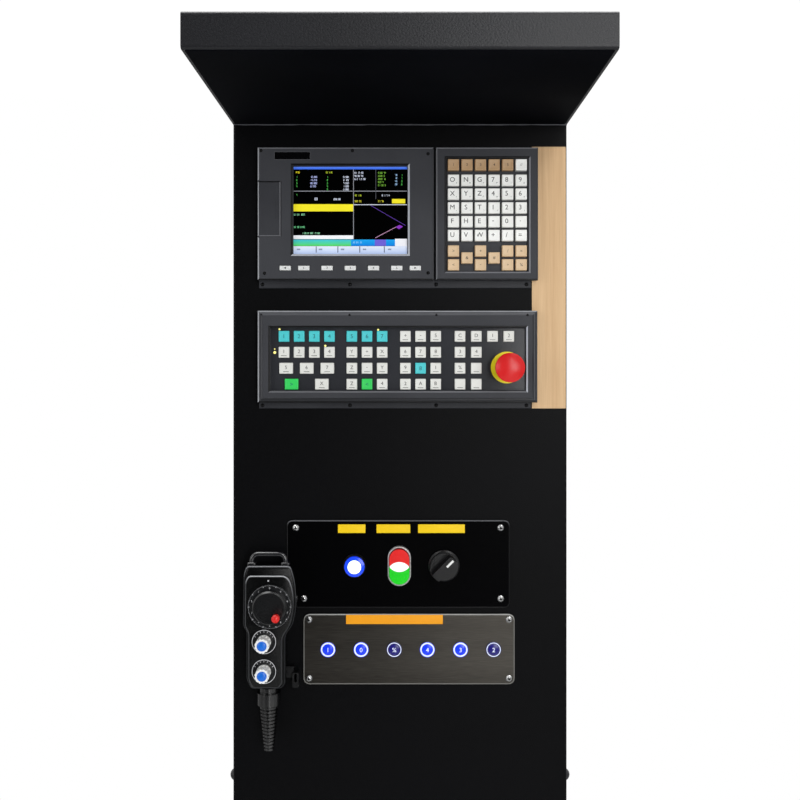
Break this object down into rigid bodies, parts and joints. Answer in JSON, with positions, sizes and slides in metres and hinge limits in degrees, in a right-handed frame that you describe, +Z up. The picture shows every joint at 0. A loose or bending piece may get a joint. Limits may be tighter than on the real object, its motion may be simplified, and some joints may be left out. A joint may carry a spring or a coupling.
{
  "type": "cnc control console",
  "caption": "Free-standing black operator console with a projecting hood, display and keypad unit, operator panel, emergency stop, button plates and a hand pendant.",
  "frame": {"origin": "on the floor, at the centre of the four floor anchor holes in the base", "axes": "+Z up, +X to the viewer's right, the front with the screen faces -Y"},
  "size_m": [0.5005, 0.709, 1.668],
  "materials": {
    "powder_coat": "satin black powder coat with a fine texture",
    "hood_coat": "satin dark grey powder coat",
    "zinc": "zinc plated steel",
    "plate_paint": "smooth light grey paint",
    "drive_plastic": "matt dark grey moulding",
    "device_plastic": "matt light grey moulding",
    "duct_plastic": "matt grey moulding",
    "grille_plastic": "matt black moulding",
    "case_steel": "dark grey painted sheet",
    "bezel_plastic": "fine-grained charcoal moulding",
    "screen": "smooth dark display front",
    "white_keys": "satin white moulding",
    "tan_keys": "satin tan moulding",
    "colour_keys": "satin teal and green moulding",
    "overlay": "glossy dark film",
    "yellow": "satin yellow moulding",
    "red": "glossy red moulding",
    "bronze": "brushed bronze anodised sheet",
    "black_plastic": "satin black moulding",
    "blue_lens": "lit blue lens",
    "silver_plastic": "satin silver moulding",
    "green": "glossy green moulding",
    "white_lens": "white translucent lens",
    "steel": "dark brushed stainless steel",
    "rubber": "matt black elastomer"
  },
  "bodies": {
    "console": {"cabinet_shell": "powder_coat", "roof_hood": "hood_coat", "base_plinth": "powder_coat", "side_bolts": "powder_coat", "hinge_pins": "zinc", "mounting_plate": "plate_paint", "servo_drives": "drive_plastic", "rail_devices": "device_plastic", "wiring_ducts": "duct_plastic", "control_case": "case_steel", "display_bezel": "bezel_plastic", "lcd_panel": "screen", "soft_keys": "white_keys", "mdi_bezel": "bezel_plastic", "mdi_white_keys": "white_keys", "mdi_tan_keys": "tan_keys", "operator_case": "case_steel", "operator_bezel": "bezel_plastic", "operator_overlay": "overlay", "operator_white_keys": "white_keys", "operator_colour_keys": "colour_keys", "estop_plate": "yellow", "estop_body": "black_plastic", "trim_strip": "bronze", "panel_screws": "zinc", "button_plate": "powder_coat", "lamp_housing": "black_plastic", "twin_housing": "silver_plastic", "twin_lens": "white_lens", "selector_housing": "black_plastic", "label_tags": "yellow", "steel_plate": "steel", "steel_button_rings": "steel", "plate_screws": "zinc", "pendant_body": "black_plastic", "pendant_hanger": "black_plastic", "pendant_scales": "case_steel", "pendant_gland": "rubber", "pendant_holder": "powder_coat"},
    "door": {"rear_door": "powder_coat", "vent_grilles": "grille_plastic"},
    "lock": {"door_lock": "zinc"},
    "card_door": {"card_door": "bezel_plastic"},
    "estop_plunger": {"estop_plunger": "zinc"},
    "estop_head": {"estop_head": "red"},
    "lamp_button": {"lamp_button": "blue_lens"},
    "stop_button": {"stop_button": "red"},
    "start_button": {"start_button": "green"},
    "selector": {"selector_knob": "black_plastic"},
    "dial": {"pendant_dial": "black_plastic"},
    "spinner": {"dial_spinner": "red"},
    "axis_knob": {"axis_knob": "white_keys"},
    "rate_knob": {"rate_knob": "white_keys"},
    "enable_button": {"enable_button": "rubber"},
    "push_button_1": {"push_button_1": "blue_lens"},
    "push_button_2": {"push_button_2": "blue_lens"},
    "push_button_3": {"push_button_3": "blue_lens"},
    "push_button_4": {"push_button_4": "blue_lens"},
    "push_button_5": {"push_button_5": "blue_lens"},
    "push_button_6": {"push_button_6": "blue_lens"}
  },
  "joints": [
    {"name": "door_swing", "type": "hinge", "parent": "console", "child": "door", "pos_m": [-0.247, 0.178, 0.85], "axis": [0, 0, 1], "range_deg": [0, 110]},
    {"name": "lock_turn", "type": "hinge", "parent": "door", "child": "lock", "pos_m": [0.19, 0.2, 0.87], "axis": [0, 1, 0], "range_deg": [-90, 0]},
    {"name": "card_door_swing", "type": "hinge", "parent": "console", "child": "card_door", "pos_m": [-0.2005, -0.2115, 1.5015], "axis": [0, 0, -1], "range_deg": [0, 100]},
    {"name": "estop_push", "type": "slide", "parent": "console", "child": "estop_plunger", "axis": [0, 1, 0], "range_m": [0, 0.004], "stiffness_N_per_m": 3000},
    {"name": "estop_twist", "type": "hinge", "parent": "estop_plunger", "child": "estop_head", "pos_m": [0.153, -0.24, 1.275], "axis": [0, 1, 0], "range_deg": [0, 45], "stiffness_Nm_per_rad": 0.15},
    {"name": "lamp_press", "type": "slide", "parent": "console", "child": "lamp_button", "axis": [0, 1, 0], "range_m": [0, 0.004], "stiffness_N_per_m": 800},
    {"name": "stop_press", "type": "slide", "parent": "console", "child": "stop_button", "axis": [0, 1, 0], "range_m": [0, 0.004], "stiffness_N_per_m": 800},
    {"name": "start_press", "type": "slide", "parent": "console", "child": "start_button", "axis": [0, 1, 0], "range_m": [0, 0.004], "stiffness_N_per_m": 800},
    {"name": "selector_turn", "type": "hinge", "parent": "console", "child": "selector", "pos_m": [0.0632, -0.203, 0.99], "axis": [0, 1, 0], "range_deg": [-90, 0]},
    {"name": "push_button_1_press", "type": "slide", "parent": "console", "child": "push_button_1", "axis": [0, 1, 0], "range_m": [0, 0.0015], "stiffness_N_per_m": 900},
    {"name": "push_button_2_press", "type": "slide", "parent": "console", "child": "push_button_2", "axis": [0, 1, 0], "range_m": [0, 0.0015], "stiffness_N_per_m": 900},
    {"name": "push_button_3_press", "type": "slide", "parent": "console", "child": "push_button_3", "axis": [0, 1, 0], "range_m": [0, 0.0015], "stiffness_N_per_m": 900},
    {"name": "push_button_4_press", "type": "slide", "parent": "console", "child": "push_button_4", "axis": [0, 1, 0], "range_m": [0, 0.0015], "stiffness_N_per_m": 900},
    {"name": "push_button_5_press", "type": "slide", "parent": "console", "child": "push_button_5", "axis": [0, 1, 0], "range_m": [0, 0.0015], "stiffness_N_per_m": 900},
    {"name": "push_button_6_press", "type": "slide", "parent": "console", "child": "push_button_6", "axis": [0, 1, 0], "range_m": [0, 0.0015], "stiffness_N_per_m": 900},
    {"name": "dial_turn", "type": "hinge", "parent": "console", "child": "dial", "pos_m": [-0.182, -0.24, 0.94096], "axis": [0, 1, 0], "continuous": true},
    {"name": "spinner_turn", "type": "hinge", "parent": "dial", "child": "spinner", "pos_m": [-0.17103, -0.25, 0.92999], "axis": [0, 1, 0], "continuous": true},
    {"name": "axis_knob_turn", "type": "hinge", "parent": "console", "child": "axis_knob", "pos_m": [-0.19, -0.24, 0.89194], "axis": [0, 1, 0], "range_deg": [-60, 60]},
    {"name": "rate_knob_turn", "type": "hinge", "parent": "console", "child": "rate_knob", "pos_m": [-0.19, -0.24, 0.85049], "axis": [0, 1, 0], "range_deg": [-30, 30]},
    {"name": "enable_press", "type": "slide", "parent": "console", "child": "enable_button", "axis": [1, 0, 0], "range_m": [0, 0.0015], "stiffness_N_per_m": 900}
  ]
}
